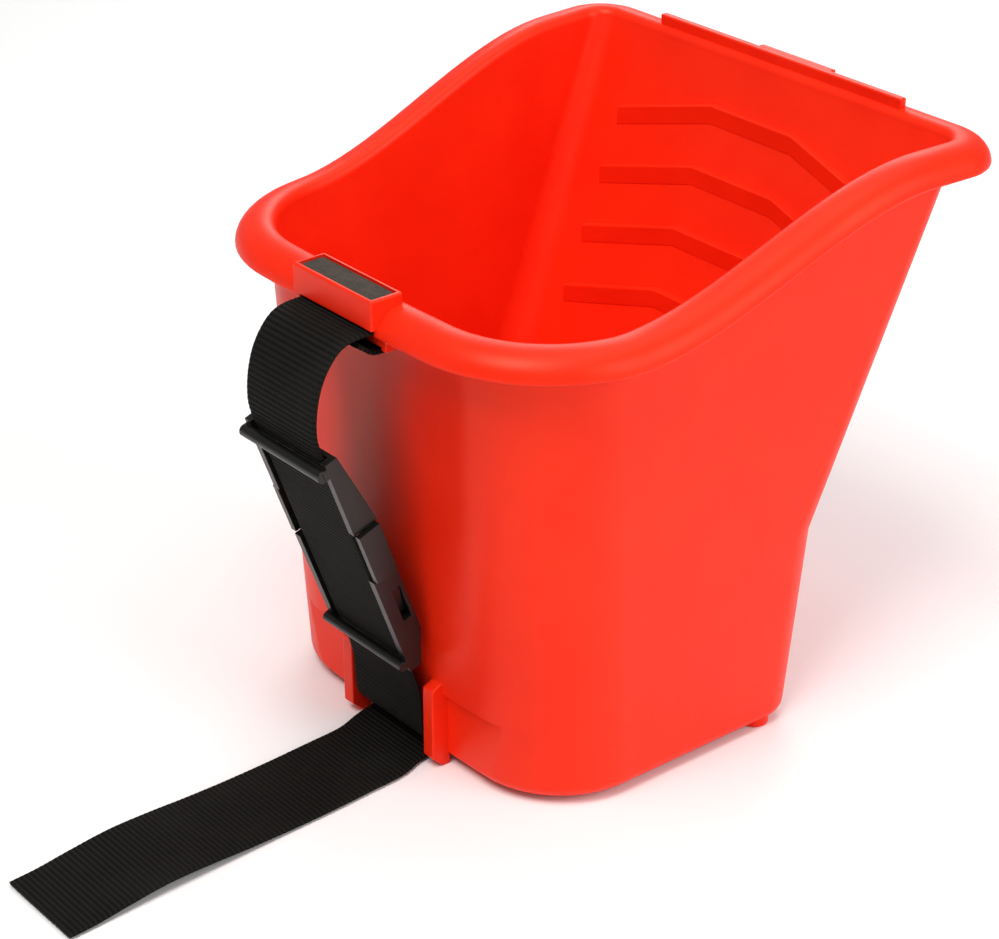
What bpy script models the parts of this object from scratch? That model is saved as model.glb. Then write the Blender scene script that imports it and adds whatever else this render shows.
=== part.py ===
"""Hand-held pail with a webbing hand strap, a side-release buckle and a tool magnet.

Metres, +Z up. The strap is at -Y and the sloping, ribbed wall at +Y. The origin is on the
surface the pail stands on, under the middle of the pail without its strap.
"""

from math import cos, hypot, pi, radians, sin

import bmesh
import bpy
from mathutils import Matrix, Vector

# Driving dimensions
WALL = 0.0022  # wall thickness of the moulding
GAP = 0.0003  # clearance between neighbouring solids
BEYOND = 0.0100  # how far a cutter reaches past what it cuts
OVERLAP = 0.0010  # how far joined solids reach into each other
FLOOR_Z = 0.0020  # underside of the pail's floor
KINK_Z = 0.0660  # height where the rear wall starts to slope
RIM_LOW_Z = 0.1507  # rim's inner edge at the front
RIM_RISE = 0.0279  # how much higher the rim is at the rear
RIM_RISE_START_Y = -0.0484
RIM_RISE_LENGTH = 0.1046
RIM_WIDTH = 0.0122
RIM_DROP = 0.0078  # from the rim's crown to its outer lip
RIM_INNER_RADIUS = 0.0032
FLOOR_RADIUS = 0.0022
FRONT_BULGE = 0.0006  # how far the middle of the front wall stands proud of its ends

# The inside of the wall at three heights: front y, rear y, half-width at the front corner,
# half-width at the rear corner, front corner radius, rear corner radius
BASE_SECTION = (-0.0650, 0.0302, 0.0650, 0.0662, 0.0285, 0.0100)
KINK_SECTION = (-0.0692, 0.0332, 0.0664, 0.0700, 0.0305, 0.0100)
TOP_SECTION = (-0.0744, 0.0762, 0.0681, 0.0753, 0.0330, 0.0060)
FRONT_STEPS = 5
CORNER_STEPS = 7
SIDE_STEPS = 9
REAR_STEPS = 3
LOW_STEPS = 4
WALL_STEPS = 5
FLOOR_STEPS = 3
ROLL_STEPS = 5
BAR_SEGMENTS = 14
FOOT_SEGMENTS = 20

RIB_TOPS_Z = (0.1629, 0.1447, 0.1263, 0.1075)
RIB_HALF_FLAT = 0.0172
RIB_HALF_LENGTH = 0.0555
RIB_DROP = 0.0100  # how far each end of a rib slants down
RIB_HEIGHT = 0.0062  # height of its upright front face
RIB_DEPTH = 0.0026  # width of the ledge on top of it

HOOK_HALF_LENGTH = 0.0509
HOOK_Y = 0.0797
HOOK_THICKNESS = 0.0026
HOOK_TOP_Z = 0.1816
TAB_HALF_LENGTH = 0.0155
TAB_Y = 0.0875
TAB_TOP_Z = 0.1788
TAB_BOTTOM_Z = 0.1718

BLOCK_HALF_WIDTH = 0.0178
BLOCK_FRONT_Y = -0.0886
BLOCK_BACK_Y = -0.0775
BLOCK_TOP_Z = 0.1540
BLOCK_BOTTOM_Z = 0.1450
POCKET_WALL = 0.0011
POCKET_DEPTH = 0.0046
MAGNET_RECESS = 0.0004  # magnet's face below the pocket's edge

WEB_WIDTH = 0.0320
WEB_THICKNESS = 0.0015
TOP_BAR_Y = -0.0825
TOP_BAR_Z = 0.1405
TOP_BAR_RADIUS = 0.0022
TOP_LUG_THICKNESS = 0.0022
TOP_BAR_SLACK = 0.0008  # between the webbing's edge and the lug
MOUTH_DROP = 0.0090  # the webbing's mouth under the block, below its bar
MOUTH_DEPTH = 0.0046  # and behind its bar
FOOT_BAR_Y = -0.0650
FOOT_BAR_Z = 0.0043
FOOT_BAR_RADIUS = 0.0014
HUMP_RISE = 0.0072  # how far the hump over the slot reaches past the bar
SLOT_HALF_WIDTH = 0.0172
LUG_OUTER_X = 0.0218
LUG_FRONT_Y = -0.0728
LUG_TOP_Z = 0.0290
LUG_TOP_SLANT = 0.0020
PANEL_Y = -0.0670  # flat face of the sunk panel at the foot of the front wall
PANEL_TOP_Z = 0.0250
PANEL_OUTER_X = 0.0600
FOOT_RADIUS = 0.0045
FOOT_ROOT = 0.0012  # how far a foot reaches up into the floor
REAR_FOOT = (0.0625, 0.0190)
LUG_BACK_Y = -0.0660
LUG_HEEL = 0.0038  # slanted corner at the foot of each lug
PANEL_BACK_HALF = 0.0350  # the wall is thickened behind the sunk panels

# Buckle, in its own axes: x across, v up from its lower bar, n out of its face
BUCKLE_TOP = (-0.1034, 0.1088)  # y and z of the webbing behind its top bar
BUCKLE_BOTTOM = (-0.0778, 0.0384)
BUCKLE_HALF_WIDTH = 0.0190
RAIL_INNER_X = 0.0164
PLATE_FACE_N = -0.0012
PLATE_BACK_N = -0.0068
RAIL_TOP_N = 0.0016
THIN_BACK_N = -0.0026  # the back at each end of the buckle, which tapers
MALE_TAPER_V = 0.0525
FEMALE_TAPER_V = 0.0084
END_LENGTH = 0.0030  # how far each half reaches past its bar
MALE_LOW_V = 0.0515
FEMALE_TOP_V = 0.0330
BAR_N = 0.0031
MALE_BAR_RADIUS = 0.0019
FEMALE_BAR_RADIUS = 0.0016
TONGUE_HALF_WIDTH = 0.0055
TONGUE_LOW_V = 0.0144
CAVITY_HALF_WIDTH = 0.0163
CAVITY_BACK_N = -0.0056
CAVITY_FACE_N = -0.0024
CAVITY_LOW_V = 0.0094
WINDOW_LOW_V = 0.0144
WINDOW_TOP_V = 0.0264
ARM_BACK_N = -0.0053
ARM_FACE_N = -0.0027
PAD_FACE_N = 0.0012
PAD_LOW_V = 0.0350
PAD_TOP_V = 0.0490
PAD_INNER_X = 0.0185
PAD_OUTER_X = 0.0207
PAD_GAP = 0.0005  # between the pad and each half, so the pad clears them when squeezed
ARM_ROOT_X = 0.0160
ARM_INNER_X = 0.0134
ARM_OUTER_X = 0.0158
SHOULDER_X = 0.0186
BARB_X = 0.0188  # the barb's catching edge

TAIL_START_Y = -0.0740  # the line the free end bends on
TAIL_Z = 0.0011
TAIL_START_X = 0.0010


def clear_scene():
    for item in list(bpy.data.objects):
        bpy.data.objects.remove(item, do_unlink=True)


def new_collection(name):
    made = bpy.data.collections.new(name)
    bpy.context.scene.collection.children.link(made)
    return made


def principled(name, colour, roughness, metallic=0.0):
    material = bpy.data.materials.new(name)
    material.use_nodes = True
    shader = material.node_tree.nodes["Principled BSDF"]
    shader.inputs["Base Color"].default_value = (*colour, 1.0)
    shader.inputs["Roughness"].default_value = roughness
    shader.inputs["Metallic"].default_value = metallic
    return material


def object_from(name, shape, collection, material=None):
    """A new object from a bmesh, which is freed."""
    mesh = bpy.data.meshes.new(name)
    shape.to_mesh(mesh)
    shape.free()
    made = bpy.data.objects.new(name, mesh)
    collection.objects.link(made)
    if material:
        mesh.materials.append(material)
    return made


def cutter_from(name, shape):
    made = object_from(name, shape, cutters)
    made.hide_render = True
    made.display_type = "WIRE"
    return made


def combine(target, tool, operation):
    step = target.modifiers.new(f"{operation.lower()} {tool.name}", "BOOLEAN")
    step.operation = operation
    step.solver = "EXACT"
    step.object = tool


def box(low, high):
    """A box between two corners."""
    low, high = Vector(low), Vector(high)
    shape = bmesh.new()
    place = Matrix.Translation((low + high) / 2) @ Matrix.Diagonal((*(high - low), 1.0))
    bmesh.ops.create_cube(shape, size=1.0, matrix=place)
    return shape


def cylinder(radius, length, place, segments):
    shape = bmesh.new()
    bmesh.ops.create_cone(
        shape,
        cap_ends=True,
        segments=segments,
        radius1=radius,
        radius2=radius,
        depth=length,
        matrix=place,
    )
    return shape


def rod(radius, half_length, y, z):
    """A rod along X, centred on X = 0."""
    place = Matrix.Translation((0, y, z)) @ Matrix.Rotation(pi / 2, 4, "Y")
    return cylinder(radius, 2 * half_length, place, BAR_SEGMENTS)


def prism(points, direction, columns=()):
    """A closed solid: an outline moved along a direction.

    An outline that isn't flat is given as columns, each a pair of indices of points that face
    each other, with a flat face between neighbouring columns.
    """
    shape = bmesh.new()
    verts = [shape.verts.new(point) for point in points]
    if columns:
        pairs = zip(columns, columns[1:])
        faces = [shape.faces.new((verts[a], verts[c], verts[d], verts[b])) for (a, b), (c, d) in pairs]
    else:
        faces = [shape.faces.new(verts)]
    moved = bmesh.ops.extrude_face_region(shape, geom=faces)["geom"]
    corners = [item for item in moved if isinstance(item, bmesh.types.BMVert)]
    bmesh.ops.translate(shape, verts=corners, vec=direction)
    bmesh.ops.recalc_face_normals(shape, faces=shape.faces)
    return shape


def shade_round(item, limit=35):
    """Smooth shading, with edges sharper than the limit kept sharp."""
    item.data.shade_smooth()
    item.data.set_sharp_from_angle(angle=radians(limit))


# Pail


def half_section(section, offset):
    """Points of the wall's inside, right half, from the front's middle to the rear's middle.

    A positive offset is outwards.
    """
    front, rear, half_front, half_rear, front_radius, rear_radius = section
    front_y, rear_y = front - offset, rear + offset
    front_x, rear_x = half_front + offset, half_rear + offset
    front_r, rear_r = front_radius + offset, rear_radius + offset
    flat = front_x - front_r
    points = []
    for step in range(FRONT_STEPS):
        share = step / FRONT_STEPS
        points.append((flat * share, front_y - FRONT_BULGE * (1 - share * share)))
    for step in range(CORNER_STEPS):
        angle = pi / 2 * step / CORNER_STEPS
        points.append((flat + front_r * sin(angle), front_y + front_r * (1 - cos(angle))))
    side_start = front_y + front_r
    side_end = rear_y - rear_r
    for step in range(SIDE_STEPS):
        share = step / SIDE_STEPS
        across = front_x + (rear_x - front_x) * share
        points.append((across, side_start + (side_end - side_start) * share))
    for step in range(CORNER_STEPS):
        angle = pi / 2 * step / CORNER_STEPS
        centre = rear_x - rear_r
        points.append((centre + rear_r * cos(angle), side_end + rear_r * sin(angle)))
    for step in range(REAR_STEPS + 1):
        share = 1 - step / REAR_STEPS
        points.append(((rear_x - rear_r) * share, rear_y))
    return points


def rim_height(y):
    share = min(max((y - RIM_RISE_START_Y) / RIM_RISE_LENGTH, 0.0), 1.0)
    return RIM_LOW_Z + RIM_RISE * share * share * (3 - 2 * share)


def wall_rings():
    """Rings of points for the open shell: up the inside of the wall and out over the rim."""
    floor = FLOOR_Z + WALL
    rings = []
    for step in range(FLOOR_STEPS + 1):
        angle = pi / 2 * step / FLOOR_STEPS
        inset = FLOOR_RADIUS * (1 - sin(angle))
        height = floor + FLOOR_RADIUS * (1 - cos(angle))
        rings.append([(x, y, height) for x, y in half_section(BASE_SECTION, -inset)])
    base = rings[-1]
    kink = [(x, y, KINK_Z) for x, y in half_section(KINK_SECTION, 0)]
    top = half_section(TOP_SECTION, 0)
    edge = [(x, y, rim_height(y) - RIM_INNER_RADIUS) for x, y in top]
    for lower, upper, steps in ((base, kink, LOW_STEPS), (kink, edge, WALL_STEPS)):
        for step in range(1, steps + 1):
            rings.append([tuple(Vector(a).lerp(Vector(b), step / steps)) for a, b in zip(lower, upper)])
    for angle in (radians(30), radians(60), radians(90)):
        out = RIM_INNER_RADIUS * (1 - cos(angle))
        drop = RIM_INNER_RADIUS * (1 - sin(angle))
        ring = half_section(TOP_SECTION, out)
        rings.append([(x, y, rim_height(at[1]) - drop) for (x, y), at in zip(ring, top)])
    crown = RIM_WIDTH - RIM_INNER_RADIUS
    for step in range(1, ROLL_STEPS + 1):
        angle = pi / 2 * step / ROLL_STEPS
        out = RIM_INNER_RADIUS + crown * sin(angle)
        drop = RIM_DROP * (1 - cos(angle))
        ring = half_section(TOP_SECTION, out)
        rings.append([(x, y, rim_height(at[1]) - drop) for (x, y), at in zip(ring, top)])
    return rings


def pail_shell():
    shape = bmesh.new()
    rings = [[shape.verts.new(point) for point in ring] for ring in wall_rings()]
    for lower, upper in zip(rings, rings[1:]):
        for index in range(len(lower) - 1):
            shape.faces.new((lower[index], upper[index], upper[index + 1], lower[index + 1]))
    shape.faces.new(rings[0])
    bmesh.ops.recalc_face_normals(shape, faces=shape.faces)
    return shape


def rear_wall_y(z):
    """Inside face of the sloping rear wall."""
    share = (z - KINK_Z) / (rim_height(TOP_SECTION[1]) - RIM_INNER_RADIUS - KINK_Z)
    return KINK_SECTION[1] + (TOP_SECTION[1] - KINK_SECTION[1]) * share


def rib(top_z):
    """An arched step: a ledge on top and an upright face below it that runs out in the leaning wall."""
    low = top_z - RIB_DROP
    upper = [(-RIB_HALF_LENGTH, low), (-RIB_HALF_FLAT, top_z), (RIB_HALF_FLAT, top_z), (RIB_HALF_LENGTH, low)]
    back = 2 * WALL
    points = [(x, rear_wall_y(z) - RIB_DEPTH, z) for x, z in upper]
    points += [(x, y, z - RIB_HEIGHT) for x, y, z in reversed(points)]
    last = len(points) - 1
    columns = [(index, last - index) for index in range(len(upper))]
    return prism(points, (0, RIB_DEPTH + back, 0), columns)


def behind_rear_wall():
    """Everything behind the middle of the rear wall's thickness, which trims the ribs."""
    outline = [(rear_wall_y(z) + WALL / 2, z) for z in (KINK_Z, RIM_LOW_Z + RIM_RISE)]
    far_y = TAB_Y + BEYOND
    half = RIB_HALF_LENGTH + BEYOND
    outline += [(far_y, RIM_LOW_Z + RIM_RISE), (far_y, KINK_Z)]
    return prism([(-half, y, z) for y, z in outline], (2 * half, 0, 0))


def build_pail():
    pail = object_from("pail_body", pail_shell(), parts, RED)
    halves = pail.modifiers.new("both halves", "MIRROR")
    halves.use_axis = (True, False, False)
    halves.merge_threshold = 0.0001
    shell = pail.modifiers.new("wall thickness", "SOLIDIFY")
    shell.thickness = WALL
    shell.offset = -1.0
    shell.use_even_offset = True

    hump_back_y = FOOT_BAR_Y + HUMP_RISE
    hump_top_z = FOOT_BAR_Z + HUMP_RISE
    lug_inner = SLOT_HALF_WIDTH
    top_inner = WEB_WIDTH / 2 + TOP_BAR_SLACK
    inset = 0.0002
    additions = {
        "magnet_block": box(
            (-BLOCK_HALF_WIDTH, BLOCK_FRONT_Y, BLOCK_BOTTOM_Z),
            (BLOCK_HALF_WIDTH, BLOCK_BACK_Y, BLOCK_TOP_Z),
        ),
        "hook_bar": box(
            (-HOOK_HALF_LENGTH, HOOK_Y - HOOK_THICKNESS / 2, RIM_LOW_Z + RIM_RISE - WALL),
            (HOOK_HALF_LENGTH, HOOK_Y + HOOK_THICKNESS / 2, HOOK_TOP_Z),
        ),
        "hook_tab": box(
            (-TAB_HALF_LENGTH, TAB_Y - HOOK_THICKNESS / 2, TAB_BOTTOM_Z),
            (TAB_HALF_LENGTH, TAB_Y + HOOK_THICKNESS / 2, TAB_TOP_Z),
        ),
        "slot_hump": box(
            (-lug_inner - WALL, PANEL_Y + inset, FLOOR_Z + inset),
            (lug_inner + WALL, hump_back_y, hump_top_z),
        ),
        "panel_back": box(
            (-PANEL_BACK_HALF, PANEL_Y - inset, PANEL_TOP_Z / 2),
            (PANEL_BACK_HALF, PANEL_Y + WALL, PANEL_TOP_Z + WALL),
        ),
    }
    trim = cutter_from("behind_rear_wall", behind_rear_wall())
    for number, top_z in enumerate(RIB_TOPS_Z):
        additions[f"rib_{number + 1}"] = rib(top_z)
    for side, sign in (("left", -1), ("right", 1)):
        outline = [
            (LUG_FRONT_Y, LUG_HEEL),
            (LUG_FRONT_Y + LUG_HEEL, 0.0),
            (LUG_BACK_Y, 0.0),
            (LUG_BACK_Y - WALL, LUG_TOP_Z),
            (LUG_FRONT_Y, LUG_TOP_Z - LUG_TOP_SLANT),
        ]
        points = [(sign * lug_inner, y, z) for y, z in outline]
        additions[f"foot_lug_{side}"] = prism(points, (sign * (LUG_OUTER_X - lug_inner), 0, 0))
        across = sorted((sign * top_inner, sign * (top_inner + TOP_LUG_THICKNESS)))
        additions[f"top_lug_{side}"] = box(
            (across[0], TOP_BAR_Y - TOP_BAR_RADIUS, TOP_BAR_Z - TOP_BAR_RADIUS),
            (across[1], TOP_SECTION[0] - WALL / 2, BLOCK_BOTTOM_Z + OVERLAP),
        )
        place = Matrix.Translation((sign * REAR_FOOT[0], REAR_FOOT[1], (FLOOR_Z + FOOT_ROOT) / 2))
        additions[f"rear_foot_{side}"] = cylinder(FOOT_RADIUS, FLOOR_Z + FOOT_ROOT, place, FOOT_SEGMENTS)
    cuts = {
        "strap_mouth": box(
            (-top_inner, BLOCK_FRONT_Y - BEYOND, TOP_BAR_Z - MOUTH_DROP),
            (top_inner, TOP_BAR_Y + MOUTH_DEPTH, BLOCK_BOTTOM_Z),
        ),
        "magnet_pocket": box(
            (-BLOCK_HALF_WIDTH + POCKET_WALL, BLOCK_FRONT_Y + POCKET_WALL, BLOCK_TOP_Z - POCKET_DEPTH),
            (BLOCK_HALF_WIDTH - POCKET_WALL, BLOCK_BACK_Y - POCKET_WALL, BLOCK_TOP_Z + BEYOND),
        ),
        "foot_slot": box(
            (-lug_inner, LUG_FRONT_Y - BEYOND, -BEYOND),
            (lug_inner, hump_back_y - WALL, hump_top_z - WALL),
        ),
    }
    for side, sign in (("left", -1), ("right", 1)):
        across = sorted((sign * LUG_OUTER_X, sign * PANEL_OUTER_X))
        front = (across[0], LUG_FRONT_Y - BEYOND, -BEYOND)
        cuts[f"panel_{side}"] = box(front, (across[1], PANEL_Y, PANEL_TOP_Z))
    for name, shape in additions.items():
        addition = cutter_from(name, shape)
        if name.startswith("rib_"):
            combine(addition, trim, "DIFFERENCE")
        combine(pail, addition, "UNION")
    for name, shape in cuts.items():
        combine(pail, cutter_from(name, shape), "DIFFERENCE")
    top_bar = rod(TOP_BAR_RADIUS, top_inner + OVERLAP, TOP_BAR_Y, TOP_BAR_Z)
    foot_bar = rod(FOOT_BAR_RADIUS, lug_inner + OVERLAP, FOOT_BAR_Y, FOOT_BAR_Z)
    combine(pail, cutter_from("top_bar", top_bar), "UNION")
    combine(pail, cutter_from("foot_bar", foot_bar), "UNION")
    shade_round(pail)
    return pail


def build_magnet():
    side = POCKET_WALL + GAP
    shape = box(
        (-BLOCK_HALF_WIDTH + side, BLOCK_FRONT_Y + side, BLOCK_TOP_Z - POCKET_DEPTH + GAP),
        (BLOCK_HALF_WIDTH - side, BLOCK_BACK_Y - side, BLOCK_TOP_Z - MAGNET_RECESS),
    )
    magnet = object_from("magnet", shape, parts, MAGNET_GREY)
    edges = magnet.modifiers.new("eased edges", "BEVEL")
    edges.width = 0.0004
    edges.segments = 1
    return magnet


# Webbing


def arc(centre_y, centre_z, radius, start, end, steps):
    """Points of an arc in the YZ plane. Angles are in degrees, from +Y towards +Z."""
    points = []
    for step in range(steps + 1):
        angle = radians(start + (end - start) * step / steps)
        points.append((centre_y + radius * cos(angle), centre_z + radius * sin(angle)))
    return points


def curve_through(points, steps):
    """Points of a smooth curve through the given ones."""
    last = len(points) - 1
    smooth = []
    for index in range(last):
        before, start = points[max(index - 1, 0)], points[index]
        end, after = points[index + 1], points[min(index + 2, last)]
        for step in range(steps):
            t = step / steps
            smooth.append(
                tuple(
                    0.5
                    * (
                        2 * b
                        + (c - a) * t
                        + (2 * a - 5 * b + 4 * c - d) * t * t
                        + (3 * b - a - 3 * c + d) * t * t * t
                    )
                    for a, b, c, d in zip(before, start, end, after)
                )
            )
    smooth.append(points[-1])
    return smooth


def buckle_length():
    return hypot(BUCKLE_BOTTOM[0] - BUCKLE_TOP[0], BUCKLE_BOTTOM[1] - BUCKLE_TOP[1])


def buckle_matrix():
    """Buckle axes to world: x across, v up its length, n out of its face."""
    x = Vector((1, 0, 0))
    v = Vector((0, BUCKLE_TOP[0] - BUCKLE_BOTTOM[0], BUCKLE_TOP[1] - BUCKLE_BOTTOM[1])).normalized()
    n = x.cross(v)
    turn = Matrix((x, v, n)).transposed().to_4x4()
    return Matrix.Translation((0, *BUCKLE_BOTTOM)) @ turn


def strap_route():
    """Centreline of the fixed webbing in Y and Z, from its sewn end to the foot slot's mouth."""
    wrap = TOP_BAR_RADIUS + GAP + WEB_THICKNESS / 2
    sewn_end = [
        (-0.0912, 0.1411),
        (-0.0888, 0.1394),
        (-0.0860, 0.1376),
    ]
    round_bar = arc(TOP_BAR_Y, TOP_BAR_Z, wrap, -90, 90, 8)
    upper = curve_through(
        [
            (TOP_BAR_Y, TOP_BAR_Z + wrap),
            (-0.0880, TOP_BAR_Z + wrap - 0.0001),
            (-0.0932, 0.1434),
            (-0.0972, 0.1421),
            (-0.1005, 0.1391),
            (-0.1031, 0.1352),
            (-0.1049, 0.1308),
            (-0.1061, 0.1250),
            (-0.1063, 0.1185),
            (-0.1050, 0.1130),
            BUCKLE_TOP,
        ],
        2,
    )
    along = Vector(BUCKLE_TOP).lerp(Vector(BUCKLE_BOTTOM), 0.5)
    foot_wrap = FOOT_BAR_RADIUS + GAP + WEB_THICKNESS / 2
    lower = curve_through(
        [
            BUCKLE_BOTTOM,
            (-0.0747, 0.0302),
            (-0.0728, 0.0230),
            (-0.0723, 0.0160),
            (-0.0718, 0.0108),
            (-0.0702, FOOT_BAR_Z + foot_wrap + 0.0010),
            (-0.0675, FOOT_BAR_Z + foot_wrap),
        ],
        2,
    )
    round_foot = arc(FOOT_BAR_Y, FOOT_BAR_Z, foot_wrap, 90, -90, 8)
    out = [(-0.0685, TAIL_Z + 0.0004), (TAIL_START_Y + WEB_THICKNESS / 2 + GAP, TAIL_Z)]
    return sewn_end + round_bar + upper[1:] + [tuple(along)] + lower + round_foot + out


def ribbon(points, name, origin=(0.0, 0.0, 0.0)):
    """Webbing: an open strip along the points, given thickness by Solidify."""
    shape = bmesh.new()
    half = WEB_WIDTH / 2
    rows = []
    for point in points:
        x, y, z = Vector(point) - Vector(origin)
        rows.append((shape.verts.new((x - half, y, z)), shape.verts.new((x + half, y, z))))
    for (a, b), (c, d) in zip(rows, rows[1:]):
        shape.faces.new((a, b, d, c))
    strip = object_from(name, shape, parts, BLACK_WEB)
    strip.location = origin
    body = strip.modifiers.new("thickness", "SOLIDIFY")
    body.thickness = WEB_THICKNESS
    body.offset = 0.0
    body.use_even_offset = True
    shade_round(strip)
    return strip


def build_strap():
    return ribbon([(0.0, y, z) for y, z in strap_route()], "strap")


def build_tail():
    """The free end, which lies on the floor and drifts to one side with a low wave."""
    route = curve_through(
        [
            (TAIL_START_X, TAIL_START_Y, TAIL_Z),
            (0.0034, -0.0820, TAIL_Z),
            (0.0040, -0.0940, TAIL_Z),
            (0.0046, -0.1080, TAIL_Z),
            (0.0049, -0.1230, TAIL_Z + 0.0001),
            (0.0053, -0.1380, TAIL_Z + 0.0007),
            (0.0058, -0.1520, TAIL_Z + 0.0017),
            (0.0062, -0.1650, TAIL_Z + 0.0021),
            (0.0066, -0.1780, TAIL_Z + 0.0012),
            (0.0070, -0.1890, TAIL_Z + 0.0002),
            (0.0073, -0.1978, TAIL_Z),
        ],
        2,
    )
    tail = ribbon(route, "strap_tail", origin=(0.0, TAIL_START_Y, TAIL_Z))
    inset = 0.00003
    round_end = rod(WEB_THICKNESS / 2 - inset, WEB_WIDTH / 2 - inset, TAIL_START_Y, TAIL_Z)
    bmesh.ops.translate(round_end, verts=round_end.verts, vec=(TAIL_START_X, 0, 0))
    combine(tail, cutter_from("tail_round_end", round_end), "UNION")
    return tail


# Buckle


def place_in_buckle(item):
    """Sets an object made in the buckle's own axes into its place."""
    item.matrix_world = buckle_matrix()
    return item


def taper(start_v, end_v):
    """Cutter that thins a half from a line across its back to its outer end."""
    half = BUCKLE_HALF_WIDTH + BEYOND
    start, end = Vector((start_v, PLATE_BACK_N)), Vector((end_v, THIN_BACK_N))
    far = start.lerp(end, 1.5)
    behind = PLATE_BACK_N - BEYOND
    outline = [tuple(start), tuple(far), (far.x, behind), (start_v, behind)]
    return prism([(-half, v, n) for v, n in outline], (2 * half, 0, 0))


def buckle_half(name, low_v, top_v, bar_v, bar_n, bar_radius, taper_v):
    """A plate with a rail down each side, and a bar across them over the webbing."""
    wide = BUCKLE_HALF_WIDTH
    end_v = top_v if bar_v > taper_v else low_v
    body = box((-wide, low_v, PLATE_BACK_N), (wide, top_v, bar_n))
    half = place_in_buckle(object_from(name, body, parts, BLACK_PLASTIC))
    cheek = bar_radius * 0.8
    cuts = {
        "channel": box(
            (-RAIL_INNER_X, low_v - BEYOND, PLATE_FACE_N),
            (RAIL_INNER_X, top_v + BEYOND, bar_n + BEYOND),
        ),
        "rail_tops_below_bar": box(
            (-wide - BEYOND, low_v - BEYOND, RAIL_TOP_N),
            (wide + BEYOND, bar_v - cheek, bar_n + BEYOND),
        ),
        "rail_tops_above_bar": box(
            (-wide - BEYOND, bar_v + cheek, RAIL_TOP_N),
            (wide + BEYOND, top_v + BEYOND, bar_n + BEYOND),
        ),
    }
    cuts["taper"] = taper(taper_v, end_v)
    for label, shape in cuts.items():
        combine(half, place_in_buckle(cutter_from(f"{name}_{label}", shape)), "DIFFERENCE")
    inset = 0.0004
    bar = cutter_from(f"{name}_bar", rod(bar_radius, wide - inset, bar_v, bar_n))
    combine(half, place_in_buckle(bar), "UNION")
    shade_round(half)
    return half


def build_male():
    """Upper half: the top bar and the tongue that guides it into the lower half."""
    bar_v = buckle_length()
    top_v = bar_v + END_LENGTH
    male = buckle_half("buckle_male", MALE_LOW_V, top_v, bar_v, BAR_N, MALE_BAR_RADIUS, MALE_TAPER_V)
    slack = 2 * GAP
    tongue = box(
        (-TONGUE_HALF_WIDTH, TONGUE_LOW_V, CAVITY_BACK_N + slack),
        (TONGUE_HALF_WIDTH, MALE_LOW_V + OVERLAP, CAVITY_FACE_N - slack),
    )
    combine(male, place_in_buckle(cutter_from("male_tongue", tongue)), "UNION")
    return male


def build_female():
    """Lower half: a socket open at the top, with a window in each side for the barbs."""
    bar_n = BAR_N - 0.0003
    radius = FEMALE_BAR_RADIUS
    female = buckle_half("buckle_female", -END_LENGTH, FEMALE_TOP_V, 0.0, bar_n, radius, FEMALE_TAPER_V)
    cavity = box(
        (-CAVITY_HALF_WIDTH, CAVITY_LOW_V, CAVITY_BACK_N),
        (CAVITY_HALF_WIDTH, FEMALE_TOP_V + BEYOND, CAVITY_FACE_N),
    )
    inset = 0.0001
    window = box(
        (-BUCKLE_HALF_WIDTH - BEYOND, WINDOW_LOW_V, CAVITY_BACK_N + inset),
        (BUCKLE_HALF_WIDTH + BEYOND, WINDOW_TOP_V, CAVITY_FACE_N - inset),
    )
    combine(female, place_in_buckle(cutter_from("female_cavity", cavity)), "DIFFERENCE")
    combine(female, place_in_buckle(cutter_from("female_windows", window)), "DIFFERENCE")
    return female


def build_latch(side, sign):
    """A spring arm: it bends about its root beside the tongue, and its barb fills a window."""
    outline = [
        (ARM_INNER_X + GAP, MALE_LOW_V - GAP),
        (SHOULDER_X - 2 * GAP, MALE_LOW_V - GAP),
        (SHOULDER_X, PAD_TOP_V + WALL),
        (PAD_OUTER_X - GAP, PAD_TOP_V),
        (PAD_OUTER_X - GAP, PAD_LOW_V),
        (SHOULDER_X, FEMALE_TOP_V + GAP),
        (ARM_OUTER_X, FEMALE_TOP_V + GAP),
        (ARM_OUTER_X, WINDOW_TOP_V - GAP),
        (BARB_X, WINDOW_TOP_V - GAP),
        (ARM_OUTER_X + GAP, WINDOW_LOW_V + GAP),
        (ARM_INNER_X, WINDOW_LOW_V + GAP),
        (ARM_INNER_X, FEMALE_TOP_V - WALL),
        (ARM_INNER_X + 2 * GAP, PAD_TOP_V),
    ]
    root = Vector((sign * ARM_ROOT_X, MALE_LOW_V, (ARM_BACK_N + ARM_FACE_N) / 2))
    points = [Vector((sign * x, v, ARM_BACK_N)) - root for x, v in outline]
    shape = prism(points, (0, 0, ARM_FACE_N - ARM_BACK_N))
    arm = object_from(f"latch_{side}", shape, parts, BLACK_PLASTIC)
    arm.matrix_world = buckle_matrix() @ Matrix.Translation(root)
    low_v, top_v, back_n = FEMALE_TOP_V + PAD_GAP, MALE_LOW_V - PAD_GAP, PLATE_BACK_N + OVERLAP / 2
    pads = {"pad": (RAIL_INNER_X, PLATE_FACE_N - OVERLAP / 5), "pad_ridge": (PAD_INNER_X, PAD_FACE_N)}
    for label, (inner_x, face_n) in pads.items():
        across = sorted((sign * inner_x, sign * PAD_OUTER_X))
        pad = box((across[0], low_v, back_n), (across[1], top_v, face_n))
        combine(arm, place_in_buckle(cutter_from(f"{label}_{side}", pad)), "UNION")
    return arm


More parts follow.
